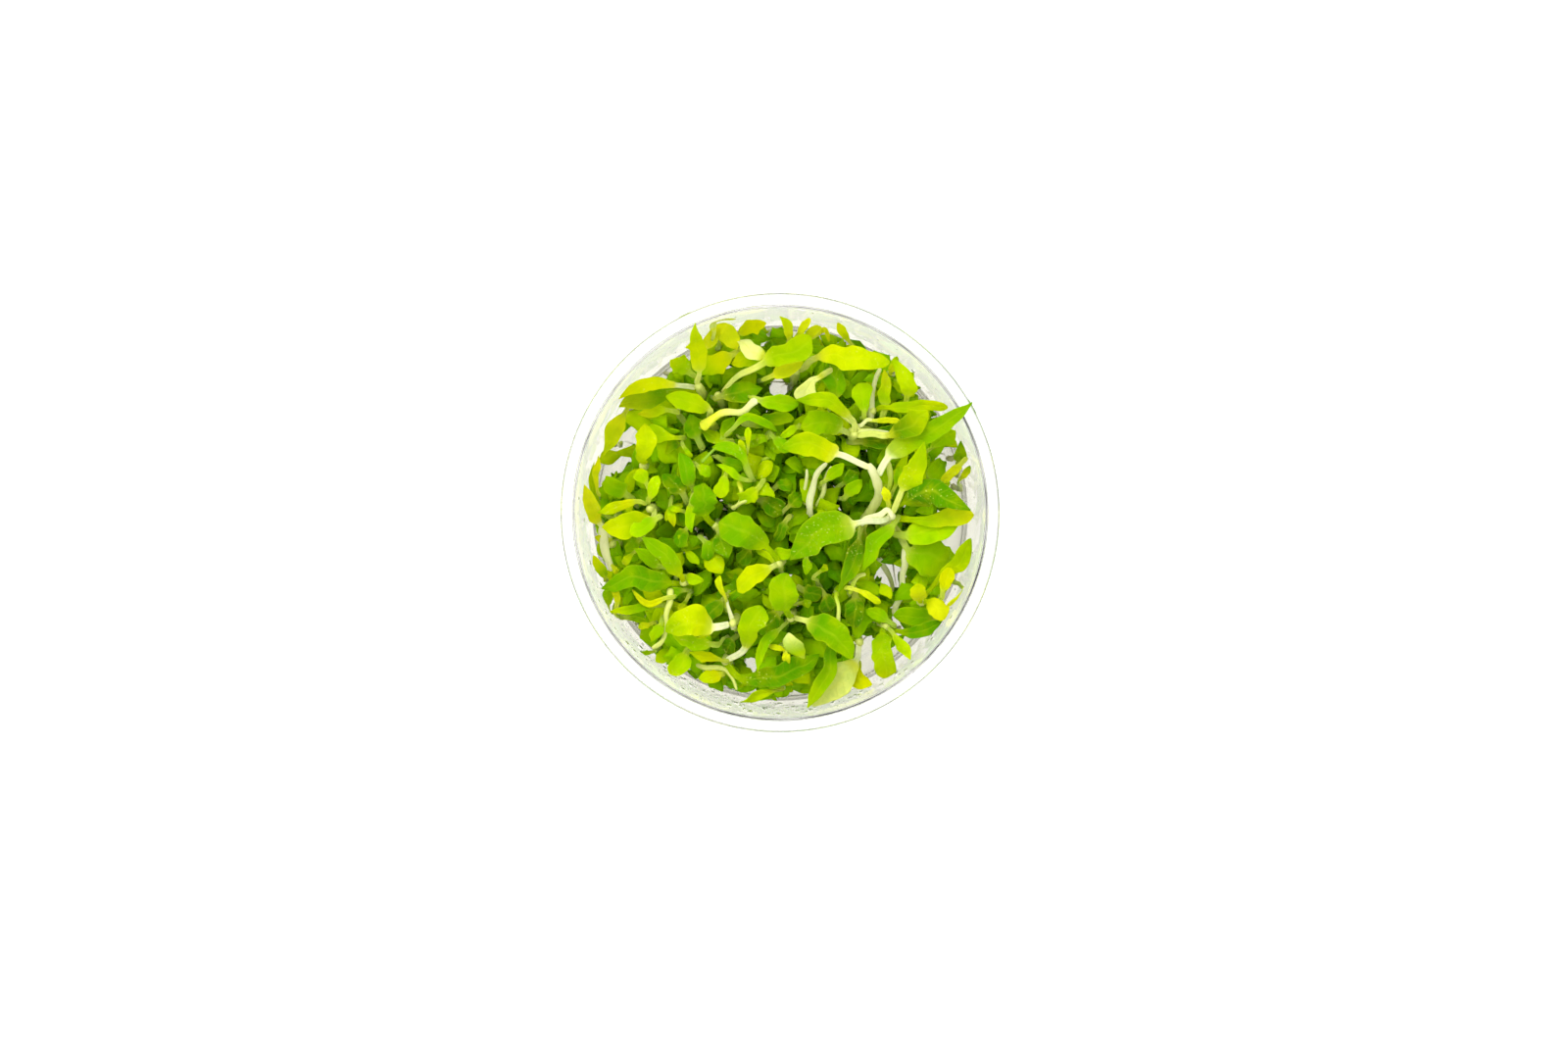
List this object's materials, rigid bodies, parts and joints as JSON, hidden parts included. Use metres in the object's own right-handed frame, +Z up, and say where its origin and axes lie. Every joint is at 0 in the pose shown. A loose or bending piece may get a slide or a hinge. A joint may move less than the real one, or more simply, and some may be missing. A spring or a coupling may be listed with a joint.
{
  "type": "water wisteria plants in a culture cup",
  "caption": "Round clear plastic culture cup with a flat rim, a layer of pale gel, and young water wisteria plants with pale stalks and fleshy bright green leaves that fill it to its mouth.",
  "frame": {"origin": "on the surface that the cup stands on, under the middle of the cup", "axes": "+Z is up, out of the cup's mouth; the picture looks down it with +Y towards its top edge and +X to its right"},
  "size_m": [0.09, 0.09, 0.0527],
  "materials": {
    "clear_plastic": "clear moulded plastic, glossy, misted with fine drops",
    "gel": "cloudy whitish gel with a wet surface",
    "stalk": "pale, smooth and slightly translucent stalks",
    "yellow_leaf": "fleshy young leaf, yellow-green, soft gloss",
    "lime_leaf": "fleshy leaf, lime green, soft gloss",
    "green_leaf": "fleshy leaf, mid green, soft gloss",
    "dark_leaf": "fleshy leaf, dark green, soft gloss",
    "pale_leaf": "fleshy pale leaf, light yellow-green, soft gloss",
    "undergrowth": "dense small leaves and shoots, dark to mid green"
  },
  "bodies": {
    "root": {"cup": "clear_plastic", "gel": "gel", "stem_01": "stalk", "stem_02": "stalk", "stem_03": "stalk", "stem_04": "stalk", "stem_05": "stalk", "stem_06": "stalk", "stem_07": "stalk", "stem_08": "stalk", "stem_09": "stalk", "stem_10": "stalk", "stem_11": "stalk", "stem_12": "stalk", "stem_13": "stalk", "stem_14": "stalk", "stem_15": "stalk", "stem_16": "stalk", "stem_17": "stalk", "stem_18": "stalk", "stem_19": "stalk", "stem_20": "stalk", "leaf_01": "yellow_leaf", "leaf_02": "lime_leaf", "leaf_03": "yellow_leaf", "leaf_04": "green_leaf", "leaf_05": "green_leaf", "leaf_06": "lime_leaf", "leaf_07": "lime_leaf", "leaf_08": "yellow_leaf", "leaf_09": "dark_leaf", "leaf_10": "lime_leaf", "leaf_11": "green_leaf", "leaf_12": "lime_leaf", "leaf_13": "yellow_leaf", "leaf_14": "yellow_leaf", "leaf_15": "dark_leaf", "leaf_16": "green_leaf", "leaf_17": "pale_leaf", "leaf_18": "green_leaf", "leaf_19": "lime_leaf", "leaf_20": "green_leaf", "leaf_21": "yellow_leaf", "leaf_22": "lime_leaf", "leaf_23": "green_leaf", "leaf_24": "yellow_leaf", "leaf_25": "green_leaf", "leaf_26": "green_leaf", "leaf_27": "green_leaf", "leaf_28": "lime_leaf", "leaf_29": "yellow_leaf", "leaf_30": "yellow_leaf", "leaf_31": "yellow_leaf", "leaf_32": "dark_leaf", "leaf_33": "lime_leaf", "leaf_34": "yellow_leaf", "leaf_35": "lime_leaf", "leaf_36": "lime_leaf", "leaf_37": "green_leaf", "undergrowth": "undergrowth"}
  },
  "joints": []
}
